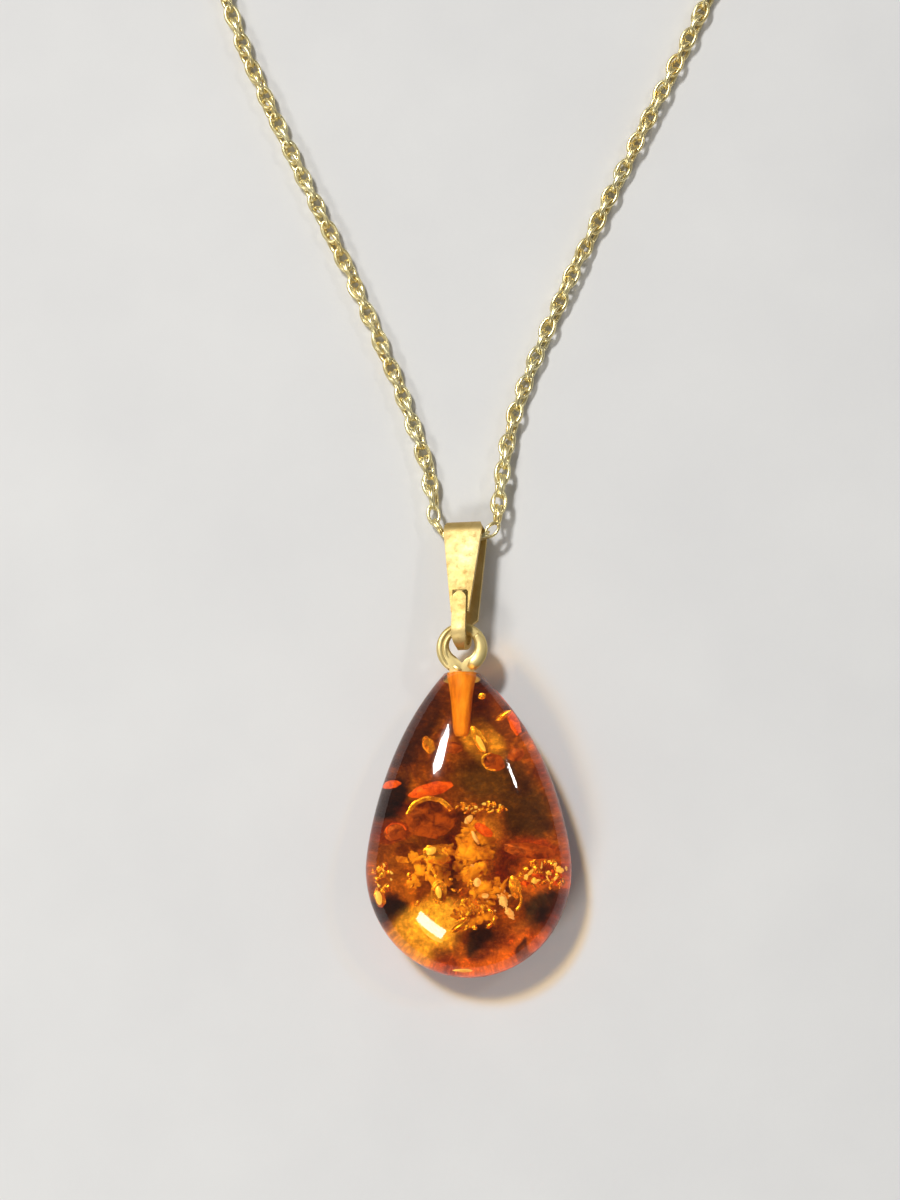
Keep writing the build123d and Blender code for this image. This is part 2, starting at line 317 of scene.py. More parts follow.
def coil_arm(start_degrees, first_turn):
    """The turns of one strand, clockwise and inwards, to the end of the second turn."""
    points = []
    steps = round((COIL_TURNS - first_turn) * COIL_STEPS)
    for i in range(steps + 1):
        turn = COIL_TURNS - (steps - i) / COIL_STEPS
        a = math.radians(start_degrees - 360 * turn)
        r = COIL_START_RADIUS - COIL_PITCH * turn
        points.append((r * math.cos(a), COIL_Y + r * math.sin(a), CHAIN_Z))
    return points


def strand_line(name, points):
    """The strand's NURBS centre line, sampled as Blender evaluates it."""
    data = bpy.data.curves.new(name, "CURVE")
    data.dimensions = "3D"
    data.resolution_u = 24
    spline = data.splines.new("NURBS")
    spline.points.add(len(points) - 1)
    for target, point in zip(spline.points, points):
        target.co = (*mm(*point), 1)
    spline.order_u = 3
    spline.use_endpoint_u = True
    obj = bpy.data.objects.new(name, data)
    bpy.context.scene.collection.objects.link(obj)
    bpy.context.view_layer.update()
    evaluated = obj.evaluated_get(bpy.context.evaluated_depsgraph_get())
    mesh = bpy.data.meshes.new_from_object(evaluated)
    line = [v.co.copy() for v in mesh.vertices]
    bpy.data.meshes.remove(mesh)
    bpy.data.objects.remove(obj)
    return line


RING_LENGTH = 2.30        # over the outside of one oval ring, as is its width
RING_WIDTH = 1.46
WIRE = 0.34
RING_SIDES = 20
BAIL_REACH = 4.2          # the pairs this near the bail are smaller, to turn inside it
BAIL_SCALE = 0.84
FOLD_REACH = 2.9          # the pairs in and beside the fold are smaller still, to turn freely
FOLD_SCALE = 0.76
FOLD_LOOSE = 0.45         # and lie less far apart
WIRE_SIDES = 7
RINGS_APART = 0.17        # each ring of a pair from their middle
PAIR_PITCH = 1.35
PAIR_PITCH_SWING = 0.17   # every second pair sits closer to the one before
PITCH_SPREAD = 0.06
TWIST_SPREAD = 22         # degrees
FAN_RANGE = (9, 19)       # degrees between a ring and the middle of its pair
FAN_TILT = 0.35
SHIFT_RANGE = (0.02, 0.14)
LOOK_AHEAD = 0.6          # for the strand's direction
STRAND_REST = 0.4         # no pair starts in the last of a strand
LOWEST = 0.02             # above the floor


def oval_ring(bm, matrix):
    """One oval ring of round wire: its long side on local Y, its short side on local X."""
    half_long = (RING_LENGTH - WIRE) / 2
    half_wide = (RING_WIDTH - WIRE) / 2
    rows = []
    for i in range(RING_SIDES):
        a = 2 * math.pi * i / RING_SIDES
        c, s = math.cos(a), math.sin(a)
        centre = Vector((half_wide * c, half_long * s, 0))
        out = Vector((half_long * c, half_wide * s, 0)).normalized()
        row = []
        for j in range(WIRE_SIDES):
            b = 2 * math.pi * j / WIRE_SIDES
            local = centre + out * (WIRE / 2 * math.cos(b)) + Vector((0, 0, WIRE / 2 * math.sin(b)))
            row.append(bm.verts.new(matrix @ (local * 0.001)))
        rows.append(row)
    for i in range(RING_SIDES):
        for j in range(WIRE_SIDES):
            near, far = rows[i], rows[(i + 1) % RING_SIDES]
            k = (j + 1) % WIRE_SIDES
            bm.faces.new((near[j], far[j], far[k], near[k])).smooth = True


def link_chain(name, line, start, seed):
    """Pairs of rings along a line, each about a quarter turn from the one before; also the line's length."""
    chance = random.Random(seed)
    lengths = [0.0]
    for a, b in zip(line, line[1:]):
        lengths.append(lengths[-1] + (b - a).length)
    total = lengths[-1]

    def at(s):
        s = min(max(s, 0.0), total)
        low = min(bisect.bisect_right(lengths, s), len(lengths) - 1) - 1
        step = max(lengths[low + 1] - lengths[low], 1e-9)
        return line[low].lerp(line[low + 1], (s - lengths[low]) / step)

    bm = bmesh.new()
    s = start * 0.001
    index = 0
    while s < total - STRAND_REST * 0.001:
        here = at(s)
        along = (at(s + LOOK_AHEAD * 0.001) - at(s - LOOK_AHEAD * 0.001)).normalized()
        side = along.cross(Vector((0, 0, 1))).normalized()
        up = side.cross(along)
        in_fold = s < FOLD_REACH * 0.001
        size = FOLD_SCALE if in_fold else BAIL_SCALE if s < BAIL_REACH * 0.001 else 1.0
        loose = FOLD_LOOSE if in_fold else 1.0
        turn = loose * chance.uniform(-TWIST_SPREAD, TWIST_SPREAD)
        twist = math.radians((0 if index % 2 else 90) + turn)
        fan = math.radians(loose * chance.uniform(*FAN_RANGE))
        shift = loose * chance.uniform(*SHIFT_RANGE)
        chance.random()   # a spare draw, which the lie of the later pairs depends on
        first_vert = len(bm.verts)
        for half in (-1, 1):
            across = side * math.cos(twist) + up * math.sin(twist)
            normal = across.cross(along)
            basis = Matrix((across, along, normal)).transposed()
            spin = Matrix.Rotation(half * fan, 3, "Y") @ Matrix.Rotation(half * fan * FAN_TILT, 3, "X")
            offset = (normal * RINGS_APART + along * (shift / 2)) * (half * 0.001)
            turned = (basis @ spin).to_4x4() @ Matrix.Scale(size, 4)
            oval_ring(bm, Matrix.Translation(here + offset * size) @ turned)
        bm.verts.ensure_lookup_table()
        pair = bm.verts[first_vert:]
        lift = max(LOWEST * 0.001 - min(v.co.z for v in pair), 0.0)
        for vert in pair:
            vert.co.z += lift
        pitch = PAIR_PITCH + (PAIR_PITCH_SWING if index % 2 else -PAIR_PITCH_SWING)
        s += (pitch + chance.uniform(-PITCH_SPREAD, PITCH_SPREAD)) * 0.001
        index += 1
    return mesh_from(bm, name), total


left_line = strand_line("left_line", left_route + coil_arm(90, -5 / COIL_STEPS + 0.02))
right_line = strand_line("right_line", right_route + coil_arm(-90, -2 / COIL_STEPS + 0.02))
left_mesh, left_length = link_chain("left_links", left_line, 0.0, 5)
right_mesh, right_length = link_chain("right_links", right_line, 1.35, 8)
left_links = new_object("left_links", left_mesh, "chain", chain_gold)
right_links = new_object("right_links", right_mesh, "chain", chain_gold)
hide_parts("chain_left", "chain_coil")
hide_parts("chain_right")

# ---------------------------------------------------------------- amber drop
AMBER_LENGTH = 25.2
AMBER_HALF_WIDTH = 8.55
AMBER_MID = 3.3
CROWN_HEIGHT = 4.2
WIDEST_SHARE = 0.357
TOP_SHIFT = -0.4
ROUND_SHIFT = 0.15
AMBER_INDEX = 1.54
HOLE_RADIUS = 0.88
HOLE_END = 0.54
TAPER_LOSS = 0.58         # half width lost to the top, by two powers of the way there
TAPER_POWER = 1.5
SHOULDER_LOSS = 0.245
SHOULDER_POWER = 4
CROWN_LOSS = 0.62         # half height lost to the top
SHIFT_POWER = 3
DROP_SIDES = 96
ROUND_STEP = 3            # degrees
TAPER_STEPS = 30
BACK_ROUND = 0.3          # the flat back's rounded rim


def drop_section(along):
    """Half width, half height and sideways shift of the drop at a share of its length."""
    if along < WIDEST_SHARE:
        c = 1 - along / WIDEST_SHARE
        half = math.sqrt(max(1 - c * c, 1e-6))
        return half * AMBER_HALF_WIDTH, half * CROWN_HEIGHT, ROUND_SHIFT
    v = (along - WIDEST_SHARE) / (1 - WIDEST_SHARE)
    wide = 1 - TAPER_LOSS * v ** TAPER_POWER - SHOULDER_LOSS * v ** SHOULDER_POWER
    high = 1 - CROWN_LOSS * v * v
    shift = ROUND_SHIFT + (TOP_SHIFT - ROUND_SHIFT) * v ** SHIFT_POWER
    return wide * AMBER_HALF_WIDTH, high * CROWN_HEIGHT, shift


def shares():
    """Places of the drop's sections along its length, close together where it turns fast."""
    places = [WIDEST_SHARE * (1 - math.cos(math.radians(a))) for a in range(ROUND_STEP, 90, ROUND_STEP)]
    return places + [WIDEST_SHARE + (1 - WIDEST_SHARE) * i / TAPER_STEPS for i in range(TAPER_STEPS + 1)]


def ring(bm, x, y, half_width, half_height, sides):
    """A ring of vertices across the drop, about its middle height."""
    angles = [2 * math.pi * i / sides for i in range(sides)]
    return [bm.verts.new(mm(x + half_width * math.cos(a), y, AMBER_MID + half_height * math.sin(a)))
            for a in angles]


def skin(bm, rows, closed=True):
    """Smooth faces between rows of vertices."""
    for near, far in zip(rows, rows[1:]):
        for i in range(len(near) if closed else len(near) - 1):
            k = (i + 1) % len(near)
            bm.faces.new((near[i], near[k], far[k], far[i])).smooth = True


def drop_rows(bm, inset, top_cut=1.0):
    """Rings of vertices on the drop's surface, set in by a distance; the round end is closed."""
    rows = []
    stretch = 1 - 2 * inset / AMBER_LENGTH
    for along in shares():
        if along > top_cut:
            break
        half_width, half_height, shift = drop_section(along)
        half_width = max(half_width - inset, 0.05)
        half_height = max(half_height - inset, 0.05)
        y = (along - 0.5) * AMBER_LENGTH * stretch
        rows.append(ring(bm, shift, y, half_width, half_height, DROP_SIDES))
    tip = bm.verts.new(mm(ROUND_SHIFT, -AMBER_LENGTH / 2 * stretch, AMBER_MID))
    for i in range(DROP_SIDES):
        bm.faces.new((tip, rows[0][(i + 1) % DROP_SIDES], rows[0][i]))
    skin(bm, rows)
    return rows


def amber_shell():
    """The polished drop: flat back with a rounded rim, blind tapered hole in the top."""
    bm = bmesh.new()
    rings = [drop_rows(bm, 0.0)[-1]]
    for radius, depth in ((HOLE_RADIUS, 0.0), (HOLE_RADIUS * 0.80, 3.2), (HOLE_END, 5.2)):
        rings.append(ring(bm, TOP_SHIFT, AMBER_LENGTH / 2 - depth, radius, radius, DROP_SIDES))
    skin(bm, rings)
    bm.faces.new(rings[-1])
    geometry = bm.verts[:] + bm.edges[:] + bm.faces[:]
    cut = bmesh.ops.bisect_plane(
        bm, geom=geometry, plane_co=(0, 0, 0), plane_no=(0, 0, -1), clear_outer=True)
    rim = [e for e in cut["geom_cut"] if isinstance(e, bmesh.types.BMEdge)]
    bmesh.ops.contextual_create(bm, geom=rim)
    rim = [e for e in bm.edges if all(abs(v.co.z) < 1e-7 for v in e.verts)]
    bmesh.ops.bevel(bm, geom=rim, offset=BACK_ROUND * 0.001, segments=3, affect="EDGES", profile=0.5)
    bmesh.ops.recalc_face_normals(bm, faces=bm.faces[:])
    for face in bm.faces:
        face.smooth = abs(face.normal.z) < 0.999
    return mesh_from(bm, "amber_shell")


def surface(point):
    """Below zero inside the drop's curved surface, above zero outside."""
    half_width, half_height, shift = drop_section(point.y / AMBER_LENGTH + 0.5)
    return ((point.x - shift) / half_width) ** 2 + ((point.z - AMBER_MID) / half_height) ** 2 - 1


SEARCH_STEPS = 400
SEARCH_ROOM = 0.5         # above the crown
END_ROOM = 0.01           # the search keeps this far inside the drop's two ends


def seen_at(x, y, depth):
    """Where something at a height in the amber lies, if it is to show at (x, y) in the photo's view."""
    ray = (Vector((x, y, AMBER_MID)) - CAMERA_PLACE).normalized()
    far = (CAMERA_PLACE.z - AMBER_MID) / -ray.z
    near = (CAMERA_PLACE.z - AMBER_MID - CROWN_HEIGHT - SEARCH_ROOM) / -ray.z
    for i in range(SEARCH_STEPS + 1):
        point = CAMERA_PLACE + ray * (near + (far - near) * i / SEARCH_STEPS)
        if abs(point.y) < AMBER_LENGTH / 2 - END_ROOM and surface(point) < 0:
            break
    step = 0.001
    normal = Vector([surface(point + a) - surface(point - a) for a in
                     (Vector((step, 0, 0)), Vector((0, step, 0)), Vector((0, 0, step)))]).normalized()
    bend = 1 / AMBER_INDEX
    cos_in = -normal.dot(ray)
    cos_out = math.sqrt(1 - bend * bend * (1 - cos_in * cos_in))
    inside = ray * bend + normal * (bend * cos_in - cos_out)
    run = (point.z - depth) / -inside.z
    place = point + inside * run
    return place.x, place.y


def amber_glass():
    """Clear amber: honey across its face, orange to red round its sides as a painted glow of light carried to
    its rim, redder on the right; it lets lamp light through.
    """
    mat, add, link = new_material("amber_glass")
    coord = add("ShaderNodeTexCoord")
    where = coord.outputs["Object"]
    facing = add("ShaderNodeSeparateXYZ")
    link(coord.outputs["Normal"], facing.inputs[0])
    place = add("ShaderNodeSeparateXYZ")
    link(where, place.inputs[0])
    # Painted glow: the glass turns orange to red where it faces sideways, redder to the right.
    sideways = map_range(add, link, place.outputs["X"], -0.004, 0.005)
    painted_rim_tone = mix(add, link, sideways, (0.90, 0.30, 0.03), (0.78, 0.09, 0.012))
    edge_on = ramp(add, link, facing.outputs["Z"], [(0.10, (0, 0, 0)), (0.55, (1, 1, 1))])
    glass = add("ShaderNodeBsdfPrincipled")
    glass.inputs["Transmission Weight"].default_value = 1.0
    glass.inputs["IOR"].default_value = AMBER_INDEX
    link(mix(add, link, edge_on, painted_rim_tone, (1.0, 0.72, 0.24)), glass.inputs["Base Color"])
    wear = noise(add, link, 420, 5.0, 0.6, coord=where)
    link(map_range(add, link, wear, 0.40, 0.75, 0.03, 0.09), glass.inputs["Roughness"])
    soft_wave = noise(add, link, 260, 2.0, 0.5, coord=where)
    link(bump(add, link, soft_wave, 0.12, 0.0001), glass.inputs["Normal"])
    clear = add("ShaderNodeBsdfTransparent")
    clear.inputs["Color"].default_value = (1.0, 0.80, 0.44, 1)
    choose = add("ShaderNodeMixShader")
    link(add("ShaderNodeLightPath").outputs["Is Shadow Ray"], choose.inputs[0])
    link(glass.outputs[0], choose.inputs[1])
    link(clear.outputs[0], choose.inputs[2])
    to_surface(add, link, choose)
    return mat


shell = new_object("amber_body", amber_shell(), "drop", amber_glass())
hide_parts("amber_drop")

# The deep lower part of the amber: its tones lie in broad patches, dark brown to gold; the dark and olive
# patches are painted shade, as clear amber looks over a dark ground.
CORE_INSET = 0.16
CORE_DEPTH = 0.8          # the height at which its patches are placed
CORE_TOP_SHARE = 0.97     # it ends short of the drilled top
CORE_RISE = 0.2           # and this far above the drop's middle height
PATCH_SHARE = 0.88        # every patch is drawn at this share of its listed size
WOBBLE = 1.9              # how far noise moves the patches' edges, in all
DARK = (0.020, 0.006, 0.0006)
BROWN = (0.115, 0.032, 0.002)
OLIVE = (0.100, 0.048, 0.002)
RUST = (0.300, 0.050, 0.003)
ORANGE = (0.700, 0.180, 0.008)
HONEY = (0.520, 0.185, 0.009)
GOLD = (0.950, 0.560, 0.070)
# x, y, half length, half width, degrees, softness, strength, colour
core_patches = [
    (-2.6, -4.0, 5.2, 3.6, 15, 0.50, 0.70, HONEY),
    (1.0, 9.0, 3.2, 2.0, 90, 0.60, 0.75, BROWN),
    (-4.1, 8.2, 4.6, 1.2, 64, 0.45, 0.95, DARK),
    (-5.9, 1.9, 2.4, 0.95, 72, 0.35, 1.0, DARK),
    (1.5, 6.6, 2.0, 1.2, 125, 0.50, 0.95, GOLD),
    (1.7, 3.8, 2.9, 2.2, 0, 0.45, 0.95, OLIVE),
    (4.9, 1.2, 2.9, 1.9, 110, 0.45, 0.95, OLIVE),
    (5.0, 0.4, 2.0, 1.5, 110, 0.60, 0.60, DARK),
    (-3.1, 0.6, 2.0, 1.7, 0, 0.30, 0.85, RUST),
    (-3.2, 0.8, 1.3, 1.0, 0, 0.50, 0.85, BROWN),
    (-5.9, -0.7, 1.2, 0.9, 0, 0.30, 0.80, RUST),
    (0.9, -3.2, 2.1, 3.9, -8, 0.45, 0.95, ORANGE),
    (1.2, -2.6, 1.3, 2.9, -12, 0.60, 0.80, GOLD),
    (-1.4, -4.6, 0.8, 1.3, 0, 0.60, 0.75, OLIVE),
    (5.0, -2.1, 2.6, 0.9, -8, 0.40, 0.95, RUST),
    (6.4, -4.0, 2.2, 1.5, 0, 0.40, 0.80, ORANGE),
    (6.5, -7.2, 2.2, 1.6, 55, 0.40, 0.95, DARK),
    (3.0, -7.0, 1.9, 1.2, -40, 0.50, 0.75, HONEY),
    (-6.0, -7.5, 2.0, 1.2, 140, 0.30, 1.0, DARK),
    # Painted glare: the yellow halo round the painted glint below lamp_low's mirror image.
    (-3.2, -8.6, 3.4, 1.9, 30, 0.35, 0.98, (1.0, 0.66, 0.09)),
    (1.1, -9.7, 1.5, 1.1, 70, 0.35, 0.95, DARK),
    (3.9, -10.3, 3.0, 1.2, 25, 0.45, 0.90, ORANGE),
    (4.4, -10.3, 0.8, 0.45, 60, 0.30, 0.95, DARK),
    (-0.9, -11.6, 2.3, 0.7, 0, 0.45, 0.90, ORANGE),
]

def amber_depth():
    """Veined brown amber under the listed patches, with a painted glow round its sides and fine specks, the
    brightest of them painted sparkle.
    """
    mat, add, link = new_material("amber_depth")
    where = add("ShaderNodeTexCoord").outputs["Object"]
    wobble = add("ShaderNodeTexNoise")
    wobble.inputs["Scale"].default_value = 420
    wobble.inputs["Detail"].default_value = 5.0
    link(where, wobble.inputs["Vector"])
    shifted = add("ShaderNodeVectorMath", operation="MULTIPLY_ADD")
    link(wobble.outputs["Color"], shifted.inputs[0])
    shifted.inputs[1].default_value = (WOBBLE * 0.001, WOBBLE * 0.001, 0.0)
    link(where, shifted.inputs[2])
    veins = noise(add, link, 330, 6.0, 0.62, 1.2, coord=where)
    tone = ramp(add, link, veins, [(0.30, BROWN), (0.50, (0.26, 0.075, 0.004)), (0.66, HONEY)])
    for x, y, length, width, degrees, soft, strength, colour in core_patches:
        true_x, true_y = seen_at(x, y, CORE_DEPTH)
        size = PATCH_SHARE * 0.001
        place = add("ShaderNodeMapping", vector_type="TEXTURE")
        place.inputs["Location"].default_value = mm(true_x + WOBBLE / 2, true_y + WOBBLE / 2, 0)
        place.inputs["Rotation"].default_value = (0, 0, math.radians(degrees))
        place.inputs["Scale"].default_value = (length * size, width * size, 1000)
        link(shifted.outputs[0], place.inputs["Vector"])
        reach = add("ShaderNodeVectorMath", operation="LENGTH")
        link(place.outputs[0], reach.inputs[0])
        fade = map_range(add, link, reach.outputs["Value"], 1 + soft, 1 - soft, 0.0, strength, smooth=True)
        tone = mix(add, link, fade, tone, colour)
    split = add("ShaderNodeSeparateXYZ")
    link(where, split.inputs[0])

    def band(axis, start, end, top):
        return map_range(add, link, split.outputs[axis], start * 0.001, end * 0.001, 0.0, top, smooth=True)

    # Painted glow: the bowl's upper part turns bright orange to red, most on the right and at the round end.
    side = band("X", 2.2, 6.3, 1.0)
    rise = add("ShaderNodeMath", operation="MULTIPLY")
    link(larger(add, link, larger(add, link, side, band("Y", -5.0, -9.0, 0.9)), 0.12), rise.inputs[0])
    link(band("Z", 0.45, 1.7, 0.95), rise.inputs[1])
    painted_rim_glow = mix(add, link, side, (1.0, 0.25, 0.010), (0.62, 0.045, 0.004))
    tone = mix(add, link, rise.outputs[0], tone, painted_rim_glow)
    # Fine specks; the brightest, above white, are painted sparkle.
    grain = noise(add, link, 2600, 4.0, 0.7, coord=where)
    specks = ramp(add, link, grain, [(0.35, (0.45, 0.42, 0.40)), (0.55, (1, 1, 1)), (0.70, (2.2, 2.0, 1.6))])
    shader = add("ShaderNodeBsdfPrincipled")
    shader.inputs["Roughness"].default_value = 0.45
    shader.inputs["Specular IOR Level"].default_value = 0.1
    link(mix(add, link, 0.8, tone, specks, "MULTIPLY"), shader.inputs["Base Color"])
    link(bump(add, link, veins, 0.5, 0.0006), shader.inputs["Normal"])
    to_surface(add, link, shader)
    return mat


def amber_core():
    """An open bowl just inside the back and the lower sides, which carries the painted shade and glow."""
    bm = bmesh.new()
    drop_rows(bm, CORE_INSET, CORE_TOP_SHARE)
    for height, outward in ((AMBER_MID + CORE_RISE, 1), (CORE_INSET, -1)):
        geometry = bm.verts[:] + bm.edges[:] + bm.faces[:]
        cut = bmesh.ops.bisect_plane(
            bm, geom=geometry, plane_co=mm(0, 0, height), plane_no=(0, 0, outward), clear_outer=True)
    rim = [e for e in cut["geom_cut"] if isinstance(e, bmesh.types.BMEdge)]
    bmesh.ops.contextual_create(bm, geom=rim)
    for face in bm.faces:
        face.smooth = True
    return mesh_from(bm, "amber_core")


new_object("amber_depths", amber_core(), "drop", amber_depth())


def inclusion_material(name, light, deep, rough, metallic=0.0, scale=1500.0):
    mat, add, link = new_material(name)
    where = add("ShaderNodeTexCoord").outputs["Object"]
    fine = noise(add, link, scale, 5.0, 0.6, 0.8, coord=where)
    shader = add("ShaderNodeBsdfPrincipled")
    shader.inputs["Metallic"].default_value = metallic
    shader.inputs["Roughness"].default_value = rough
    shader.inputs["Specular IOR Level"].default_value = 0.15
    link(ramp(add, link, fine, [(0.36, deep), (0.60, light)]), shader.inputs["Base Color"])
    link(bump(add, link, fine, 0.6, 0.00012), shader.inputs["Normal"])
    to_surface(add, link, shader)
    return mat


spangle_gold = inclusion_material("spangle_gold", (1.0, 0.62, 0.07), (0.60, 0.18, 0.008), 0.25, 0.75)
spangle_bright = inclusion_material("spangle_bright", (1.0, 0.92, 0.42), (1.0, 0.74, 0.14), 0.25, 0.1)
tongue_red = inclusion_material("tongue_red", (0.90, 0.17, 0.008), (0.45, 0.05, 0.002), 0.38, 0.1)
spangle_rust = inclusion_material("spangle_rust", (0.42, 0.10, 0.006), (0.14, 0.028, 0.002), 0.35, 0.2)
flake_white = inclusion_material("flake_white", (1.0, 0.86, 0.62), (0.80, 0.45, 0.18), 0.5)
cloud_amber = inclusion_material("cloud_amber", (1.0, 0.52, 0.03), (0.42, 0.13, 0.004), 0.55, 0.0, 520.0)


FLAKE_STEPS = 28          # round a flake's edge
FLAKE_SHARES = (0.0, 0.35, 0.7, 1.0)
ARC_SHARES = (0.80, 0.92, 1.0)
ARC_RAGGED = 0.2          # an arc's edge is cleaner by this share


def add_flake(bm, x, y, z, long, wide, degrees, dome, ragged=0.12, lean=0.0, arc=None):
    """A thin domed flake that shows at (x, y), or an arc-shaped rim of one, at a height in the amber."""
    true_x, true_y = seen_at(x, y, z)
    turn = Matrix.Rotation(math.radians(degrees), 3, "Z") @ Matrix.Rotation(math.radians(lean), 3, "X")
    ragged = ragged * ARC_RAGGED if arc else ragged
    edge = [1 + rng.uniform(-ragged, ragged) for _ in range(FLAKE_STEPS)]
    first, last = arc or (0, 360)
    rows = []
    for share in ARC_SHARES if arc else FLAKE_SHARES:
        lift = dome * long * (1 - share * share)
        if arc:
            lift = dome * long * math.sin(math.pi * (share - ARC_SHARES[0]) / (1 - ARC_SHARES[0]))
        row = []
        for i in range(FLAKE_STEPS + (1 if arc else 0)):
            a = math.radians(first + (last - first) * i / FLAKE_STEPS)
            r = share * (edge[i % FLAKE_STEPS] * 0.5 + edge[(i + 1) % FLAKE_STEPS] * 0.5)
            local = turn @ Vector((long * r * math.cos(a), wide * r * math.sin(a), lift))
            row.append(bm.verts.new(mm(true_x + local.x, true_y + local.y, z + local.z)))
        rows.append(row)
    skin(bm, rows, closed=not arc)


def inclusions(name, material, flakes, clusters=()):
    """One piece of single flakes and of clusters of small ragged ones."""
    bm = bmesh.new()
    for flake in flakes:
        add_flake(bm, *flake[:7], **(flake[7] if len(flake) > 7 else {}))
    for x, y, long, wide, count, size, low_z, high_z in clusters:
        for _ in range(count):
            a, r = rng.uniform(0, 2 * math.pi), math.sqrt(rng.random())
            add_flake(
                bm, x + long * r * math.cos(a), y + wide * r * math.sin(a), rng.uniform(low_z, high_z),
                size * rng.uniform(0.4, 1.2), size * rng.uniform(0.3, 0.8), rng.uniform(0, 180),
                dome=0.3, ragged=0.4, lean=rng.uniform(-25, 25))
    new_object(name, mesh_from(bm, name), "drop", material)


# Each flake: x, y, height, half length, half width, degrees, dome, and what else sets it apart.
# Each cluster: x, y, half length, half width, count, size, lowest, highest.
inclusions("amber_spangles", spangle_gold, [
    (-2.6, -2.5, 4.6, 1.05, 0.80, -20, 0.25), (-2.3, -5.6, 4.2, 0.60, 0.92, 0, 0.25),
    (-3.2, 6.6, 3.4, 0.45, 0.75, 20, 0.2), (1.05, 7.0, 3.6, 0.42, 1.25, 28, 0.3),
    (4.0, -5.2, 3.6, 0.45, 0.9, 10, 0.2), (-0.6, -8.4, 3.4, 0.9, 0.25, 35, 0.2),
    (-7.2, -6.0, 3.2, 0.45, 0.8, 10, 0.2),
    (3.1, 9.1, 3.4, 0.75, 0.28, 35, 0.2), (1.3, 10.7, 3.9, 0.30, 0.28, 0, 0.2),
], [(6.4, -4.0, 2.0, 1.15, 17, 0.36, 3.2, 4.6), (1.2, 1.35, 2.3, 0.45, 26, 0.26, 3.0, 4.2),
    (-6.9, -4.4, 0.9, 1.2, 16, 0.30, 3.0, 3.6), (0.6, -7.6, 1.9, 1.3, 26, 0.34, 2.6, 3.6),
    (-2.4, -5.0, 3.2, 2.0, 16, 0.22, 3.0, 4.2)])
inclusions("amber_glints", spangle_bright, [
    (-2.95, -2.2, 5.3, 0.42, 0.30, 30, 0.3), (1.15, 6.75, 4.3, 0.2, 0.75, 28, 0.3),
    (-7.3, -6.1, 3.7, 0.30, 0.52, 8, 0.3), (-2.35, -5.6, 4.9, 0.22, 0.5, 10, 0.3),
    # The smooth flake at (-3.0, -8.6) is a painted glint: the white-yellow glare under lamp_low's mirror
    # image.
    (-3.0, -8.6, 3.4, 1.35, 0.55, -45, 0.1, {"ragged": 0.03}), (-0.35, -12.0, 3.4, 0.75, 0.16, 0, 0.2),
], [(6.4, -3.9, 2.0, 1.0, 15, 0.27, 4.2, 4.9), (1.3, 1.4, 2.1, 0.35, 9, 0.16, 4.0, 4.6),
    (-7.0, -4.3, 0.8, 1.0, 7, 0.15, 3.5, 3.9)])
inclusions("amber_tongues", tongue_red, [
    (-3.0, 2.9, 4.3, 1.75, 0.55, 14, 0.10), (-6.35, 3.3, 3.2, 0.8, 0.32, 5, 0.1),
    (4.0, 8.5, 3.4, 0.45, 1.1, 18, 0.1), (1.4, -0.5, 4.4, 0.85, 0.38, -35, 0.2),
    (3.1, 10.5, 3.4, 0.9, 0.25, -45, 0.1), (-5.9, -0.5, 3.8, 0.85, 0.62, 0, 0.2, {"arc": (0, 210)}),
], [(6.3, -4.6, 1.8, 0.9, 12, 0.35, 2.8, 3.6)])
inclusions("amber_discs", spangle_rust, [
    (-3.1, 0.5, 2.6, 1.9, 1.6, 0, 0.08), (-5.9, -0.7, 2.7, 0.9, 0.7, 0, 0.2),
    (2.2, 5.2, 3.8, 0.95, 0.7, -20, 0.2), (4.1, 5.8, 3.4, 0.7, 0.5, 30, 0.2),
    (5.2, -2.2, 3.0, 2.0, 0.6, -8, 0.15), (-1.2, 6.4, 3.0, 0.8, 0.5, 0, 0.2),
])
inclusions("amber_arcs", spangle_gold, [
    (-3.05, 0.4, 4.6, 2.0, 1.9, 0, 0.04, {"arc": (25, 165)}),
    (2.2, 5.2, 4.2, 0.95, 0.75, -20, 0.05, {"arc": (120, 300)}),
    (3.6, -6.0, 4.0, 0.9, 1.3, 10, 0.05, {"arc": (-70, 70)}),
    (-2.3, -5.6, 4.6, 0.62, 0.95, 0, 0.05, {"arc": (90, 290)}),
])
inclusions("amber_cloud", cloud_amber, [], [
    (0.6, -2.4, 1.0, 2.3, 60, 0.75, 2.0, 3.4), (1.8, -5.5, 1.3, 1.0, 34, 0.6, 2.0, 3.2),
    (0.7, -7.4, 1.4, 0.7, 26, 0.55, 1.8, 3.0), (-2.6, -3.6, 3.2, 1.6, 34, 0.6, 1.2, 2.2)])
inclusions("amber_flakes", flake_white, [
    (0.15, 0.4, 5.0, 0.42, 0.26, 50, 0.3), (0.85, -4.8, 4.8, 0.30, 0.34, 0, 0.3),
    (3.0, -6.3, 4.2, 0.62, 0.30, -58, 0.3, {"ragged": 0.4}),
    (3.5, -7.3, 4.0, 0.5, 0.26, -50, 0.3, {"ragged": 0.4}),
    (0.45, -3.4, 5.0, 0.16, 0.12, 0, 0.3), (1.5, -5.9, 4.6, 0.26, 0.2, 0, 0.3),
    (0.7, -1.1, 5.0, 0.6, 0.16, -62, 0.3),
], [(2.3, -6.2, 1.3, 1.0, 10, 0.14, 3.8, 4.6)])

# The glue in the drilled hole, streaked along the hole.
GLUE_SKIN = 0.02
GLUE_SIDES = 48
GLUE_PROFILE = (          # depth, radius
    (0.0, HOLE_RADIUS), (1.5, HOLE_RADIUS * 0.93), (3.2, HOLE_RADIUS * 0.80),
    (4.8, HOLE_END * 1.15), (5.3, HOLE_END), (5.6, HOLE_END * 0.7))


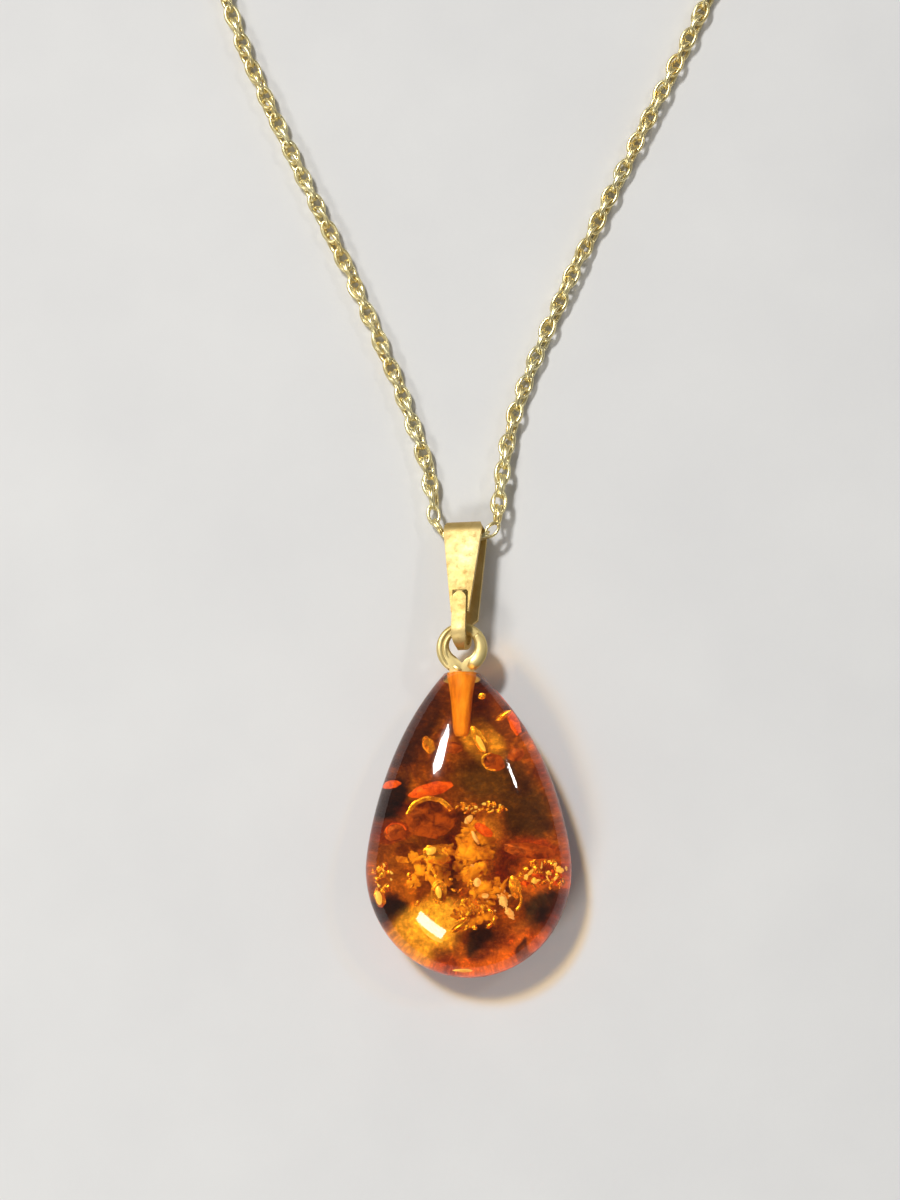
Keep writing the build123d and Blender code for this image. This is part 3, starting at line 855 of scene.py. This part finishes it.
def glue_orange():
    mat, add, link = new_material("glue_orange")
    stretched = add("ShaderNodeMapping")
    stretched.inputs["Scale"].default_value = (1, 0.22, 1)
    link(add("ShaderNodeTexCoord").outputs["Object"], stretched.inputs["Vector"])
    streaks = noise(add, link, 1500, 4.0, 0.6, coord=stretched.outputs[0])
    shader = add("ShaderNodeBsdfPrincipled")
    shader.inputs["Roughness"].default_value = 0.5
    tones = [(0.34, (0.60, 0.20, 0.010)), (0.52, (0.88, 0.36, 0.02)), (0.70, (1.0, 0.55, 0.06))]
    link(ramp(add, link, streaks, tones), shader.inputs["Base Color"])
    link(bump(add, link, streaks, 0.4, 0.00008), shader.inputs["Normal"])
    to_surface(add, link, shader)
    return mat


def glue_plug():
    """The tapered plug of glue, its round lower end a little domed."""
    bm = bmesh.new()
    rings = [ring(bm, TOP_SHIFT, AMBER_LENGTH / 2 - depth, radius + GLUE_SKIN, radius + GLUE_SKIN, GLUE_SIDES)
             for depth, radius in GLUE_PROFILE]
    skin(bm, rings)
    bm.faces.new(rings[0])
    bm.faces.new(rings[-1])
    bmesh.ops.recalc_face_normals(bm, faces=bm.faces[:])
    return mesh_from(bm, "glue_plug")


glue = new_object("glue_plug", glue_plug(), "drop", glue_orange())
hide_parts("glue_fill")

# ---------------------------------------------------------------- eye and bail
EYE_X = -0.4
EYE_Y = 14.75
EYE_TOP = 3.7
RIDGE_SIDES = 6
RIDGE_SINK = 0.04         # the ridges start this far under the eye's face
PADDLE_SINK = 0.05
ARC_STEPS = 16


def ridge(bm, points, widths, heights, base):
    """A low rounded ridge along points, as the bent wire leaves on the eye's face."""
    rows = []
    for i, (x, y) in enumerate(points):
        before, after = points[max(i - 1, 0)], points[min(i + 1, len(points) - 1)]
        ahead = Vector((after[0] - before[0], after[1] - before[1], 0)).normalized()
        side = Vector((ahead.y, -ahead.x, 0))
        row = []
        for j in range(RIDGE_SIDES + 1):
            a = math.pi * j / RIDGE_SIDES
            offset = side * (widths[i] / 2 * math.cos(a))
            row.append(bm.verts.new(mm(x + offset.x, y + offset.y, base + heights[i] * math.sin(a))))
        rows.append(row)
    for near, far in zip(rows, rows[1:]):
        for j in range(RIDGE_SIDES):
            bm.faces.new((near[j], near[j + 1], far[j + 1], far[j]))
    for row in (rows[0], rows[-1]):
        bm.faces.new(row)


def arc_points(radius, first, last):
    """Points round the eye's middle, between two angles in degrees."""
    angles = [math.radians(first + (last - first) * i / ARC_STEPS) for i in range(ARC_STEPS + 1)]
    return [(EYE_X + radius * math.cos(a), EYE_Y + radius * math.sin(a)) for a in angles]


def eye_with_wire():
    """The eye peg, softened, with two ridges up its left arm and a flattened end on its right."""
    bm = bmesh.new()
    bm.from_mesh(softened("eye_peg", 0.08, 40))
    swell = [math.sin(math.pi * (i + 0.6) / (ARC_STEPS + 1.2)) for i in range(ARC_STEPS + 1)]
    for radius, first, last, width, height in ((1.86, 236, 112, 0.50, 0.17), (1.42, 228, 122, 0.36, 0.12)):
        ridge(bm, arc_points(radius, first, last), [width * (0.5 + 0.5 * w) for w in swell],
              [height * w for w in swell], EYE_TOP - RIDGE_SINK)
    paddle = arc_points(1.62, 44, -52) + [(EYE_X + 0.62, EYE_Y - 1.72)]
    broad = [0.55 + 0.45 * math.sin(math.pi * i / ARC_STEPS * 0.62) for i in range(ARC_STEPS + 1)] + [0.55]
    ridge(bm, paddle, [1.05 * w for w in broad], [0.10 + 0.05 * w for w in broad], EYE_TOP - PADDLE_SINK)
    neck = [(EYE_X - 0.95, 13.35), (EYE_X - 0.35, 13.0), (EYE_X + 0.1, 12.72)]
    ridge(bm, neck, [0.30, 0.42, 0.30], [0.02, 0.10, 0.02], EYE_TOP - RIDGE_SINK)
    bmesh.ops.recalc_face_normals(bm, faces=bm.faces[:])
    for face in bm.faces:
        face.smooth = True
    return mesh_from(bm, "eye_wire")


eye = new_object("eye_wire", eye_with_wire(), "drop", eye_gold)
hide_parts("eye_peg")
bail_soft = new_object("bail_satin", softened("bail", 0.12, 40, shape_bail), "bail", bail_gold)
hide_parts("bail")

# ---------------------------------------------------------------- floor and light
# Camera rays see a plain pale backdrop; everything else gets a dimmer fill, brighter near the horizon.
BACKDROP = 0.9
FILL_STRENGTH = 0.32
world = bpy.data.worlds.new("studio")
bpy.context.scene.world = world
add, link = empty_tree(world)
white = add("ShaderNodeBackground")
white.inputs["Color"].default_value = (BACKDROP, BACKDROP, BACKDROP, 1)
sky_height = add("ShaderNodeSeparateXYZ")
link(add("ShaderNodeTexCoord").outputs["Generated"], sky_height.inputs[0])
sky_tone = ramp(add, link, sky_height.outputs["Z"], [(0.40, (0.62, 0.61, 0.59)), (0.78, (0.42, 0.42, 0.42))])
fill = add("ShaderNodeBackground")
fill.inputs["Strength"].default_value = FILL_STRENGTH
link(sky_tone, fill.inputs["Color"])
chooser = add("ShaderNodeMixShader")
link(add("ShaderNodeLightPath").outputs["Is Camera Ray"], chooser.inputs[0])
link(fill.outputs[0], chooser.inputs[1])
link(white.outputs[0], chooser.inputs[2])
link(chooser.outputs[0], add("ShaderNodeOutputWorld").inputs["Surface"])


def area_light(name, location, target, power, colour, width, height):
    data = bpy.data.lights.new(name, "AREA")
    data.energy = power
    data.color = colour
    data.shape = "RECTANGLE"
    data.size = width * 0.001
    data.size_y = height * 0.001
    obj = bpy.data.objects.new(name, data)
    obj.location = mm(*location)
    obj.rotation_euler = (mm(*target) - obj.location).to_track_quat("-Z", "Y").to_euler()
    bpy.context.scene.collection.objects.link(obj)


# Watts, and millimetres: each small lamp's mirror image lies where the photo has a highlight on the amber.
area_light("lamp_left", (-122, 151, 260), (0, 5, 0), 0.26, (1.0, 0.98, 0.94), 62, 20)
area_light("lamp_low", (-150, -204, 260), (0, 0, 0), 0.40, (1.0, 0.97, 0.92), 125, 62)
area_light("lamp_right", (212, 151, 260), (0, 0, 0), 0.09, (1.0, 0.98, 0.96), 36, 14)
SUN_STRENGTH = 1.35
SUN_ANGLE = math.radians(7)
SUN_DIRECTION = Vector((0.38, -0.45, -0.81))
sun_data = bpy.data.lights.new("sun", "SUN")
sun_data.energy = SUN_STRENGTH
sun_data.angle = SUN_ANGLE
sun = bpy.data.objects.new("sun", sun_data)
sun.rotation_euler = SUN_DIRECTION.to_track_quat("-Z", "Y").to_euler()
bpy.context.scene.collection.objects.link(sun)

floor_mat, add, link = new_material("floor_pale")
floor_coord = add("ShaderNodeTexCoord").outputs["Object"]
floor_noise = noise(add, link, 60, 5.0, coord=floor_coord)
floor_shader = add("ShaderNodeBsdfPrincipled")
floor_shader.inputs["Roughness"].default_value = 0.85
floor_shader.inputs["Specular IOR Level"].default_value = 0.2
link(ramp(add, link, floor_noise, [(0.3, (0.74, 0.74, 0.74)), (0.7, (0.78, 0.78, 0.775))]),
     floor_shader.inputs["Base Color"])
floor_grain = noise(add, link, 1800, 3.0, coord=floor_coord)
link(bump(add, link, floor_grain, 0.15, 0.0001), floor_shader.inputs["Normal"])
to_surface(add, link, floor_shader)
FLOOR = 2                 # metres from its middle to each side
floor_mesh = bpy.data.meshes.new("floor")
floor_mesh.from_pydata(
    [(-FLOOR, -FLOOR, 0), (FLOOR, -FLOOR, 0), (FLOOR, FLOOR, 0), (-FLOOR, FLOOR, 0)], [], [(0, 1, 2, 3)])
floor = bpy.data.objects.new("floor", floor_mesh)
bpy.context.scene.collection.objects.link(floor)
paint(floor, floor_mat)
